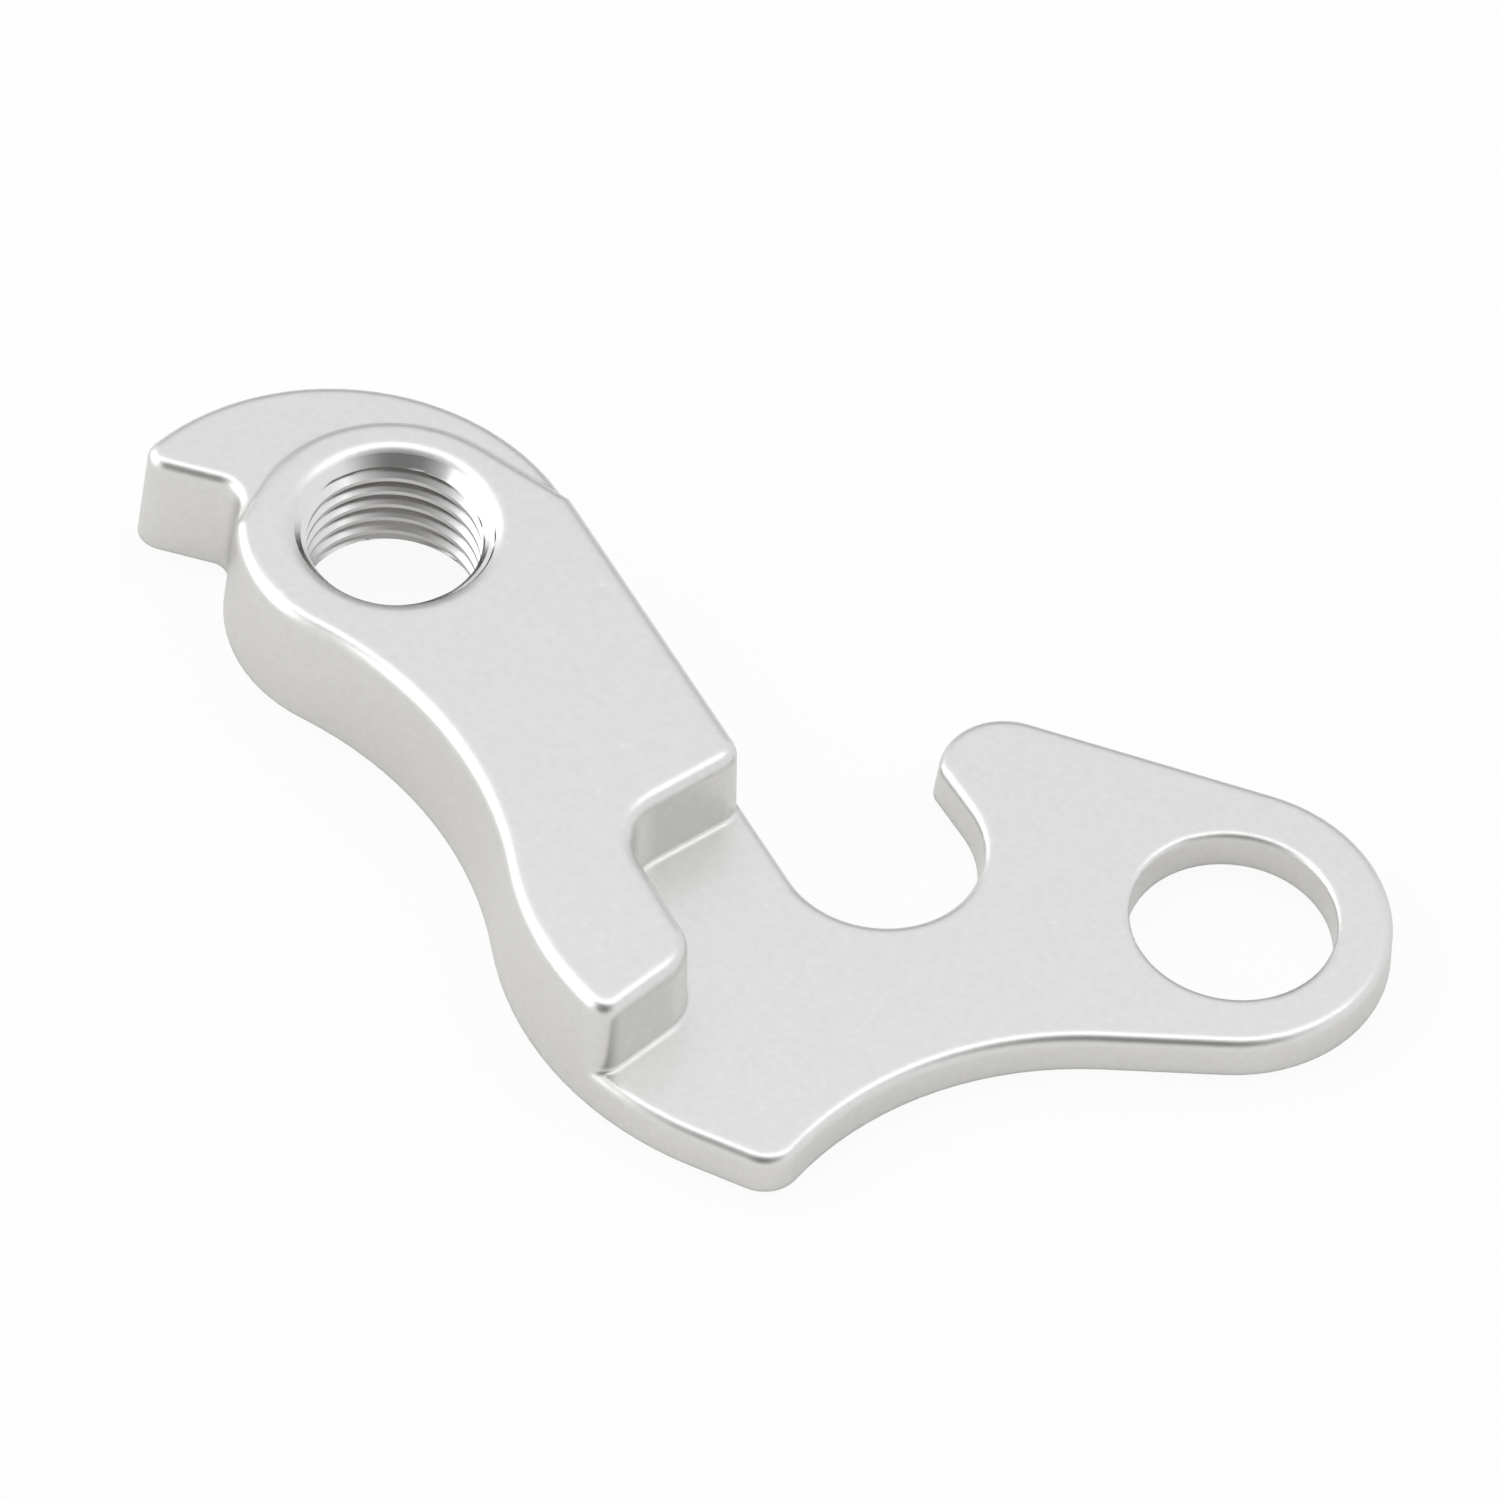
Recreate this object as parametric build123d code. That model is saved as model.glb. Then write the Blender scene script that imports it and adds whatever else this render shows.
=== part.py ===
from build123d import *
import os
from math import acos, asin, atan2, cos, degrees, hypot, radians, sin

# Bicycle derailleur hanger: one aluminium forging with three levels above a flat back face.
# The origin is on the axis of the frame bolt hole, on the back face.
# +X points from the derailleur thread to the bolt hole and +Z through the part. Sizes are in mm.

# Levels above the back face, and the draft of the forged walls; every outline is drawn on the back face
arm_thickness = 7.0
tab_thickness = 6.3
plate_thickness = 2.5
draft_angle = 3.5

# Frame bolt hole and the round lug about it
bolt_hole_diameter = 10.4
lug_radius = 8.55
lug_setback = 0.45

# Derailleur thread, M10 x 1, with a countersink at both ends and the round boss about it
thread_spacing = 46.5
thread_diameter = 10.0
thread_pitch = 1.0
countersink_diameter = 10.7
countersink_depth = 0.85
boss_radius = 8.45

# Axle slot: its round end, and where that lies from the bolt hole
axle_setback = 17.5
axle_drop = 4.0
slot_width = 10.0

# Hook over the slot: the round of its back, forward of the axle and up from the slot, and inside it a tip
# that is turned down from level by an angle in degrees
hook_radius = 3.63
hook_forward = 3.7
hook_rise = 2.45
hook_tip_radius = 1.0
hook_tip_droop = 22.0

# Heel below the slot, from the axle, with a flat foot from its round to its tip
heel_radius = 17.4
heel_setback = 0.5
heel_drop = 3.9
heel_tip_radius = 2.0
heel_tip_forward = 2.45

# Hollows: one runs from the boss to the heel, the other from the heel tip, with a straight run to the lug
arm_hollow_radius = 20.4
front_hollow_radius = 18.6
front_straight = 6.2

# Stop tab: the long round of its back, from the thread, its tip inside that and the fillet at its root,
# which lie above and below level by an angle in degrees
tab_back_radius = 13.1
tab_back_setback = 1.35
tab_back_drop = 3.6
tab_tip_radius = 1.45
tab_tip_lift = 16.6
tab_root_radius = 1.0
tab_root_droop = 13.5

# Raised face round the thread, how far short of the tab's back it runs out on the slot's straight wall,
# and how far the tab goes on under it from there
crest_radius = 7.7
crest_run_out = 0.6
tab_lap = 3.0

# End of the arm on the plate, from the axle: its finger, the pocket beside it and the headings of their walls
finger_radius = 2.85
finger_setback = 6.9
finger_drop = 14.65
finger_wall_heading = 69.0
pocket_radius = 2.5
pocket_setback = 7.3
pocket_drop = 7.5
pocket_wall_heading = 62.0
arm_corner_radius = 1.65
finger_corner_radius = 1.45

# Edge rounding
arm_edge = 0.7
tab_edge = 0.6
plate_edge = 0.5
back_edge = 0.3
bolt_hole_edge = 0.25
countersink_edge = 0.8

# Beyond the first distance a dividing shape is clear of the part; within the second, two sizes are the same
clear = 60.0
tolerance = 0.001


def polar(x, y, distance, angle):
    """Point at a distance and an angle in degrees from (x, y)."""
    return x + distance * cos(radians(angle)), y + distance * sin(radians(angle))


def heading(start, end):
    """Heading in degrees from one (x, y, radius) round to the next; a hollow's radius is negative."""
    along = end[0] - start[0]
    across = end[1] - start[1]
    lean = (end[2] - start[2]) / hypot(along, across)
    return degrees(atan2(across, along) - asin(max(-1.0, min(1.0, lean))))


def touch(around, angle):
    """Point where a run of this heading touches a round."""
    x, y, radius = around
    return Vector(*polar(x, y, radius, angle - 90))


def belt(rounds):
    """Closed wire that runs like a belt about a ring of rounds."""
    headings = []
    legs = []
    for i, around in enumerate(rounds):
        following = rounds[(i + 1) % len(rounds)]
        angle = heading(around, following)
        departure = touch(around, angle)
        arrival = touch(following, angle)
        if (arrival - departure).length < tolerance:
            arrival = departure
        headings.append(angle)
        legs.append((departure, arrival))

    edges = []
    for i, around in enumerate(rounds):
        turn = (headings[i] - headings[i - 1]) % 360
        if around[2] < 0:
            turn -= 360
        departure, arrival = legs[i]
        if abs(around[2] * radians(turn)) > tolerance:
            middle = touch(around, headings[i - 1] + turn / 2)
            edges.append(ThreePointArc(legs[i - 1][1], middle, departure))
        if arrival != departure:
            edges.append(Line(departure, arrival))
    return Wire(edges)


def hollow_between(start, end, radius, straight):
    """Hollow that touches the start round and lies a straight run short of the end round."""
    to_start = start[2] + radius
    to_end = hypot(end[2] + radius, straight)
    along = end[0] - start[0]
    across = end[1] - start[1]
    span = hypot(along, across)
    swing = acos((to_start ** 2 + span ** 2 - to_end ** 2) / (2 * to_start * span))
    return *polar(start[0], start[1], to_start, degrees(atan2(across, along) - swing)), -radius


def tip_inside(around, radius, angle):
    """Small round that touches a larger one from inside, at an angle in degrees from its centre."""
    return *polar(around[0], around[1], around[2] - radius, angle), radius


def round_corner(face, x, y, radius):
    """Face with the corner that lies nearest to (x, y) rounded."""
    return fillet(face.vertices().sort_by_distance((x, y, 0))[0], radius)


def forged(face, height):
    """Slab on this outline, with drafted walls."""
    slab = extrude(face, height)
    walls = [wall for wall in slab.faces() if abs(wall.normal_at().Z) < 0.5]
    return draft(walls, Plane.XY, draft_angle)


def upper_edges(slab):
    """Edges of the slab's upper face."""
    return slab.faces().sort_by(Axis.Z)[-1].edges()


def upper_rim(solid):
    """Edges of the hole in the solid's upper face."""
    return solid.faces().sort_by(Axis.Z)[-1].inner_wires()[0].edges()


# Rounds of the outline
thread_x = -thread_spacing
axle_x = -axle_setback
axle_y = -axle_drop
lug = (-lug_setback, 0, lug_radius)
hook = (axle_x + hook_forward, axle_y + slot_width / 2 + hook_rise, hook_radius)
hook_tip = tip_inside(hook, hook_tip_radius, 180 + hook_tip_droop)
slot = (axle_x, axle_y, -slot_width / 2)
tab_back = (thread_x - tab_back_setback, -tab_back_drop, tab_back_radius)
tab_tip = tip_inside(tab_back, tab_tip_radius, 180 - tab_tip_lift)
tab_root = (*polar(thread_x, 0, boss_radius + tab_root_radius, 180 + tab_root_droop), -tab_root_radius)
boss = (thread_x, 0, boss_radius)
heel = (axle_x - heel_setback, axle_y - heel_drop, heel_radius)
heel_foot_y = axle_y - heel_drop - heel_radius
heel_tip = (axle_x + heel_tip_forward, heel_foot_y + heel_tip_radius, heel_tip_radius)
arm_hollow = hollow_between(boss, heel, arm_hollow_radius, 0)
front_hollow = hollow_between(heel_tip, lug, front_hollow_radius, front_straight)
outline = make_face(belt([
    lug, hook, hook_tip, slot, tab_back, tab_tip, tab_root, boss, arm_hollow, heel, heel_tip, front_hollow,
]))

# The arm ends along the pocket wall, the run between the pocket and the finger, and the end of the finger
finger = (axle_x - finger_setback, axle_y - finger_drop, finger_radius)
pocket = (axle_x - pocket_setback, axle_y - pocket_drop, -pocket_radius)
finger_end = touch(finger, finger_wall_heading)
pocket_end = touch(pocket, pocket_wall_heading)
below = (*polar(finger_end.X, finger_end.Y, -clear, finger_wall_heading), 0)
above = (*polar(pocket_end.X, pocket_end.Y, clear, pocket_wall_heading), 0)
arm_side = make_face(belt([
    below, finger, pocket, above, (thread_x - clear, above[1], 0), (thread_x - clear, below[1], 0),
]))

# The raised face round the thread stands over the tab
crest = (thread_x, 0, crest_radius)
slot_heading = heading(slot, tab_back)
tab_start = touch(tab_back, slot_heading)
run_out = (*polar(tab_start.X, tab_start.Y, -crest_run_out, slot_heading), 0)
crest_end_x, crest_end_y = polar(run_out[0], run_out[1], -clear, heading(run_out, crest))
crest_side = make_face(belt([
    crest, (thread_x - crest_radius, -clear, 0), (crest_end_x, -clear, 0), (crest_end_x, crest_end_y, 0),
]))

arm_face = outline & arm_side & crest_side
arm_face = round_corner(arm_face, pocket_end.X, axle_y, arm_corner_radius)
arm_face = round_corner(arm_face, finger_end.X, heel_foot_y, finger_corner_radius)
tab_face = outline & Pos(run_out[0] + tab_lap - clear, 0) * Rectangle(2 * clear, 2 * clear)

# Plate with the frame bolt hole; its edges are rounded above and chamfered on the back
on_back = (Align.CENTER, Align.CENTER, Align.MIN)
plate = forged(outline, plate_thickness)
plate = fillet(upper_edges(plate), plate_edge)
plate -= Cylinder(bolt_hole_diameter / 2, plate_thickness, align=on_back)
plate = fillet(upper_rim(plate), bolt_hole_edge)
plate = chamfer(plate.faces().sort_by(Axis.Z)[0].edges(), back_edge)

# The tab's last edge lies inside the arm and stays sharp
tab = forged(tab_face, tab_thickness)
tab = fillet(upper_edges(tab).sort_by(Axis.X)[:-1], tab_edge)
arm = forged(arm_face, arm_thickness)
arm = fillet(upper_edges(arm), arm_edge)
body = plate + split(tab + arm, Plane.XY.offset(plate_thickness / 2))

# Tapped bore at the thread's minor diameter, with a countersink at each end
minor_radius = (thread_diameter - 1.0825 * thread_pitch) / 2
countersink = Cone(countersink_diameter / 2, minor_radius, countersink_depth, align=on_back)
body -= Pos(thread_x, 0) * Cylinder(minor_radius, arm_thickness, align=on_back)
body -= Pos(thread_x, 0) * countersink
body -= Pos(thread_x, 0, arm_thickness) * Rot(X=180) * countersink
body = fillet(upper_rim(body), countersink_edge)

os.makedirs("parts", exist_ok=True)
export_step(body, "parts/hanger.step")
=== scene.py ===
import bmesh
import bpy
import math
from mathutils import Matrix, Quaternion, Vector


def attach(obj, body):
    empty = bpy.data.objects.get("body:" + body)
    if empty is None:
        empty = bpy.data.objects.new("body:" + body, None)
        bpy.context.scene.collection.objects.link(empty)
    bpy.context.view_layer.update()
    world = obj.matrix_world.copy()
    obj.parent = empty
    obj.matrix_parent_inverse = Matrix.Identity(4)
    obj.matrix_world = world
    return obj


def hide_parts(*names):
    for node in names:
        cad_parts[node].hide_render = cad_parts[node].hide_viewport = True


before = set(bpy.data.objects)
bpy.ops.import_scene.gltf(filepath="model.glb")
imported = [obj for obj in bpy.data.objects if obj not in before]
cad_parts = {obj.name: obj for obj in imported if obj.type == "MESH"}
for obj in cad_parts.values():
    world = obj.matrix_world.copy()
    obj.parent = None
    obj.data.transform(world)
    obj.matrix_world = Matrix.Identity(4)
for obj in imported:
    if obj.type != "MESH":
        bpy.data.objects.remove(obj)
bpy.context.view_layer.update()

# Hanger: one piece of forged aluminium, tumbled until every edge is soft, then blasted to an even
# satin and anodised silver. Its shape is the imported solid, opened where the tapped bore goes in.
MM = 0.001
thread_axis_x = -46.5 * MM
arm_top = 7.0 * MM
minor_radius = 4.45875 * MM
countersink_radius = 5.35 * MM
countersink_depth = 0.85 * MM
countersink_edge = 0.8 * MM
slack = 0.01 * MM
silver = (0.742, 0.735, 0.720, 1.0)
silver_dull = (0.712, 0.705, 0.690, 1.0)
silver_fleck = (0.80, 0.795, 0.785, 1.0)
cloud_scale = 2500.0
cloud_detail = 4.0
dull_until = 0.35
silver_from = 0.65
silver_until = 0.70
fleck_from = 0.76
grain_scale = 9000.0
grain_detail = 2.0
satin_smoothest = 0.26
satin_roughest = 0.34
blast_strength = 0.15
blast_depth = 0.02 * MM
edge_softness = 0.5 * MM
edge_samples = 8

countersink_slope = math.atan2(countersink_depth, countersink_radius - minor_radius)
rim_setback = countersink_edge * math.tan(countersink_slope / 2)
rim_radius = countersink_radius - rim_setback * math.cos(countersink_slope)
rim_top = arm_top - rim_setback * math.sin(countersink_slope)

hanger_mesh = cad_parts["hanger"].data.copy()
hanger_mesh.name = "forged_hanger"
forging = bmesh.new()
forging.from_mesh(hanger_mesh)
in_bore = []
for face in forging.faces:
    above = face.calc_center_median().z > arm_top / 2
    reach = (rim_radius if above else countersink_radius) + slack
    if all(math.hypot(corner.co.x - thread_axis_x, corner.co.y) < reach for corner in face.verts):
        in_bore.append(face)
bmesh.ops.delete(forging, geom=in_bore, context="FACES")
forging.to_mesh(hanger_mesh)
forging.free()
hanger_mesh.materials.clear()
hanger = bpy.data.objects.new("forged_hanger", hanger_mesh)
bpy.context.scene.collection.objects.link(hanger)

satin = bpy.data.materials.new("satin_silver_anodising")
satin.use_nodes = True
nodes = satin.node_tree.nodes
links = satin.node_tree.links
shader = nodes["Principled BSDF"]
shader.inputs["Metallic"].default_value = 1.0
place = nodes.new("ShaderNodeTexCoord")
cloud = nodes.new("ShaderNodeTexNoise")
cloud.inputs["Scale"].default_value = cloud_scale
cloud.inputs["Detail"].default_value = cloud_detail
links.new(place.outputs["Object"], cloud.inputs["Vector"])
tint = nodes.new("ShaderNodeValToRGB")
tint.color_ramp.elements[0].position = dull_until
tint.color_ramp.elements[0].color = silver_dull
tint.color_ramp.elements[1].position = silver_from
tint.color_ramp.elements[1].color = silver
tint.color_ramp.elements.new(silver_until).color = silver
tint.color_ramp.elements.new(fleck_from).color = silver_fleck
links.new(cloud.outputs["Fac"], tint.inputs["Fac"])
links.new(tint.outputs["Color"], shader.inputs["Base Color"])
grain = nodes.new("ShaderNodeTexNoise")
grain.inputs["Scale"].default_value = grain_scale
grain.inputs["Detail"].default_value = grain_detail
links.new(place.outputs["Object"], grain.inputs["Vector"])
gloss = nodes.new("ShaderNodeMapRange")
gloss.inputs["To Min"].default_value = satin_smoothest
gloss.inputs["To Max"].default_value = satin_roughest
links.new(grain.outputs["Fac"], gloss.inputs["Value"])
links.new(gloss.outputs["Result"], shader.inputs["Roughness"])
blast = nodes.new("ShaderNodeBump")
blast.inputs["Strength"].default_value = blast_strength
blast.inputs["Distance"].default_value = blast_depth
links.new(grain.outputs["Fac"], blast.inputs["Height"])
soft_edge = nodes.new("ShaderNodeBevel")
soft_edge.samples = edge_samples
soft_edge.inputs["Radius"].default_value = edge_softness
links.new(soft_edge.outputs["Normal"], blast.inputs["Normal"])
links.new(blast.outputs["Normal"], shader.inputs["Normal"])
hanger_mesh.materials.append(satin)

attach(hanger, "root")
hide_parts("hanger")

# Tapped bore: the M10 x 1 thread that takes the derailleur's mounting bolt, cut after the blasting,
# so its turns and the countersinks at its two ends are bare bright metal.
pitch = 1.0 * MM
major_radius = 5.0 * MM
crest_share = 0.25
root_share = 0.125
flank_share = (1 - crest_share - root_share) / 2
columns = 144
rows_per_turn = 16
weld_distance = 0.002 * MM
sliver_length = 0.001 * MM
crease_angle = math.radians(30)
bright = (0.76, 0.75, 0.74, 1.0)
cut_scale = 4000.0
cut_smoothest = 0.16
cut_roughest = 0.22


def turn_radius(along):
    """Radius of the cut at a place along one turn, in turns."""
    along = along % 1.0
    rise = min(max((along - crest_share) / flank_share, 0.0), 1.0)
    fall = min(max((1.0 - along) / flank_share, 0.0), 1.0)
    return minor_radius + (major_radius - minor_radius) * min(rise, fall)


def countersink_at(depth):
    """Radius of a countersink at this depth below its face."""
    return countersink_radius - (countersink_radius - minor_radius) * depth / countersink_depth


turns = math.ceil(arm_top / pitch) + 1
bore = bmesh.new()
grid = []
for row in range(turns * rows_per_turn + 1):
    start = row / rows_per_turn - 1.0
    ring = []
    for column in range(columns + 1):
        angle = 2 * math.pi * column / columns
        height = min(max((start + column / columns) * pitch, 0.0), rim_top)
        radius = max(turn_radius(start), countersink_at(height), countersink_at(arm_top - height))
        ring.append(bore.verts.new((
            thread_axis_x + radius * math.cos(angle), radius * math.sin(angle), height)))
    grid.append(ring)
for lower, upper in zip(grid, grid[1:]):
    for column in range(columns):
        bore.faces.new((lower[column], upper[column], upper[column + 1], lower[column + 1]))
bmesh.ops.remove_doubles(bore, verts=bore.verts, dist=weld_distance)
bmesh.ops.dissolve_degenerate(bore, edges=bore.edges, dist=sliver_length)
for face in bore.faces:
    face.smooth = True
thread_mesh = bpy.data.meshes.new("derailleur_thread")
bore.to_mesh(thread_mesh)
bore.free()
thread_mesh.set_sharp_from_angle(angle=crease_angle)
thread = bpy.data.objects.new("derailleur_thread", thread_mesh)
bpy.context.scene.collection.objects.link(thread)

cut = bpy.data.materials.new("bright_cut_aluminium")
cut.use_nodes = True
nodes = cut.node_tree.nodes
links = cut.node_tree.links
shader = nodes["Principled BSDF"]
shader.inputs["Metallic"].default_value = 1.0
shader.inputs["Base Color"].default_value = bright
place = nodes.new("ShaderNodeTexCoord")
tool_marks = nodes.new("ShaderNodeTexNoise")
tool_marks.inputs["Scale"].default_value = cut_scale
links.new(place.outputs["Object"], tool_marks.inputs["Vector"])
gloss = nodes.new("ShaderNodeMapRange")
gloss.inputs["To Min"].default_value = cut_smoothest
gloss.inputs["To Max"].default_value = cut_roughest
links.new(tool_marks.outputs["Fac"], gloss.inputs["Value"])
links.new(gloss.outputs["Result"], shader.inputs["Roughness"])
thread_mesh.materials.append(cut)

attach(thread, "root")

# Studio floor: a sheet of white paper under the hanger's back face. The camera and the metal see it
# partly as plain white, with the rest of its real shading left in, so the hanger keeps its shadow.
floor_size = 4.0
floor_gap = 0.05 * MM
paper_white = (0.87, 0.86, 0.84, 1.0)
white_share = 0.92
mirrored_share = 0.35

bpy.ops.mesh.primitive_plane_add(size=floor_size, location=(0, 0, -floor_gap))
floor = bpy.context.object
floor.name = "studio_floor"
paper = bpy.data.materials.new("white_paper")
paper.use_nodes = True
nodes = paper.node_tree.nodes
links = paper.node_tree.links
nodes.remove(nodes["Principled BSDF"])
shaded = nodes.new("ShaderNodeBsdfDiffuse")
shaded.inputs["Color"].default_value = paper_white
plain = nodes.new("ShaderNodeEmission")
plain.inputs["Strength"].default_value = 1.0
ray = nodes.new("ShaderNodeLightPath")
to_camera = nodes.new("ShaderNodeMapRange")
to_camera.inputs["To Max"].default_value = white_share
links.new(ray.outputs["Is Camera Ray"], to_camera.inputs["Value"])
in_metal = nodes.new("ShaderNodeMapRange")
in_metal.inputs["To Max"].default_value = mirrored_share
links.new(ray.outputs["Is Glossy Ray"], in_metal.inputs["Value"])
through_glass = nodes.new("ShaderNodeMapRange")
through_glass.inputs["To Max"].default_value = white_share
links.new(ray.outputs["Is Transmission Ray"], through_glass.inputs["Value"])
mirrored = nodes.new("ShaderNodeMath")
mirrored.operation = "MAXIMUM"
links.new(in_metal.outputs["Result"], mirrored.inputs[0])
links.new(through_glass.outputs["Result"], mirrored.inputs[1])
share = nodes.new("ShaderNodeMath")
share.operation = "MAXIMUM"
links.new(to_camera.outputs["Result"], share.inputs[0])
links.new(mirrored.outputs["Value"], share.inputs[1])
blend = nodes.new("ShaderNodeMixShader")
links.new(share.outputs["Value"], blend.inputs["Fac"])
links.new(shaded.outputs["BSDF"], blend.inputs[1])
links.new(plain.outputs["Emission"], blend.inputs[2])
links.new(blend.outputs["Shader"], nodes["Material Output"].inputs["Surface"])
floor.data.materials.append(paper)

# Studio light: a white tent, bright all round but for the dark opening that the camera looks through
# and a dimmer backdrop low behind the hanger. A softbox overhead and one on the left whiten the
# rounded edges. Where the opening and the backdrop begin and end is the cosine of the angle off them.
subject = Vector((-24, -8, 3)) * MM
camera_side = Vector((0.218, -0.609, 0.763))
opening_begins = 0.66
opening_rim_at = 0.83
opening_core_at = 0.97
tent_white = (0.955, 0.97, 0.985, 1.0)
opening_rim = (0.55, 0.55, 0.55, 1.0)
opening_core = (0.20, 0.20, 0.20, 1.0)
backdrop_side = Vector((-0.338, 0.941, 0.0))
backdrop_begins = 0.80
backdrop_full_at = 0.94
backdrop_dark = 0.50
overhead_size = (0.80, 0.26)
overhead_place = Vector((-0.066, 0.109, 0.590))
overhead_power = 0.62
left_size = (0.80, 0.62)
left_place = Vector((-0.56, -0.12, 0.26))
left_power = 1.30

world = bpy.data.worlds.new("tent")
bpy.context.scene.world = world
world.use_nodes = True
nodes = world.node_tree.nodes
links = world.node_tree.links
way = nodes.new("ShaderNodeTexCoord")
toward = nodes.new("ShaderNodeVectorMath")
toward.operation = "DOT_PRODUCT"
toward.inputs[1].default_value = camera_side
links.new(way.outputs["Generated"], toward.inputs[0])
tent = nodes.new("ShaderNodeValToRGB")
tent.color_ramp.elements[0].position = opening_begins
tent.color_ramp.elements[0].color = tent_white
tent.color_ramp.elements[1].position = opening_core_at
tent.color_ramp.elements[1].color = opening_core
tent.color_ramp.elements.new(opening_rim_at).color = opening_rim
links.new(toward.outputs["Value"], tent.inputs["Fac"])
links.new(tent.outputs["Color"], nodes["Background"].inputs["Color"])
behind = nodes.new("ShaderNodeVectorMath")
behind.operation = "DOT_PRODUCT"
behind.inputs[1].default_value = backdrop_side
links.new(way.outputs["Generated"], behind.inputs[0])
backdrop = nodes.new("ShaderNodeMapRange")
backdrop.inputs["From Min"].default_value = backdrop_begins
backdrop.inputs["From Max"].default_value = backdrop_full_at
backdrop.inputs["To Min"].default_value = 1.0
backdrop.inputs["To Max"].default_value = backdrop_dark
links.new(behind.outputs["Value"], backdrop.inputs["Value"])
links.new(backdrop.outputs["Result"], nodes["Background"].inputs["Strength"])

for name, size, place, power in (
    ("overhead_softbox", overhead_size, overhead_place, overhead_power),
    ("left_softbox", left_size, left_place, left_power),
):
    softbox_data = bpy.data.lights.new(name, "AREA")
    softbox_data.shape = "RECTANGLE"
    softbox_data.size, softbox_data.size_y = size
    softbox_data.energy = power
    softbox = bpy.data.objects.new(name, softbox_data)
    softbox.location = place
    softbox.rotation_euler = (subject - place).to_track_quat("-Z", "Y").to_euler()
    bpy.context.scene.collection.objects.link(softbox)

# Camera: a long lens in front of the hanger and half way up, turned a little about its own axis.
# Its place was solved from the two round holes. Sensor and focal length are in millimetres.
eye = Vector((108.08, -375.39, 470.94)) * MM
sight = Vector((-0.21808, 0.60885, -0.76270))
roll = math.radians(6.276)
sensor_width = 36.0
focal_length = 293.95
lens_data = bpy.data.cameras.new("camera")
lens_data.sensor_width = sensor_width
lens_data.lens = focal_length
camera = bpy.data.objects.new("camera", lens_data)
camera.location = eye
camera.rotation_mode = "QUATERNION"
camera.rotation_quaternion = sight.to_track_quat("-Z", "Y") @ Quaternion((0, 0, 1), roll)
bpy.context.scene.collection.objects.link(camera)
bpy.context.scene.camera = camera

bpy.context.scene.view_settings.view_transform = "Standard"
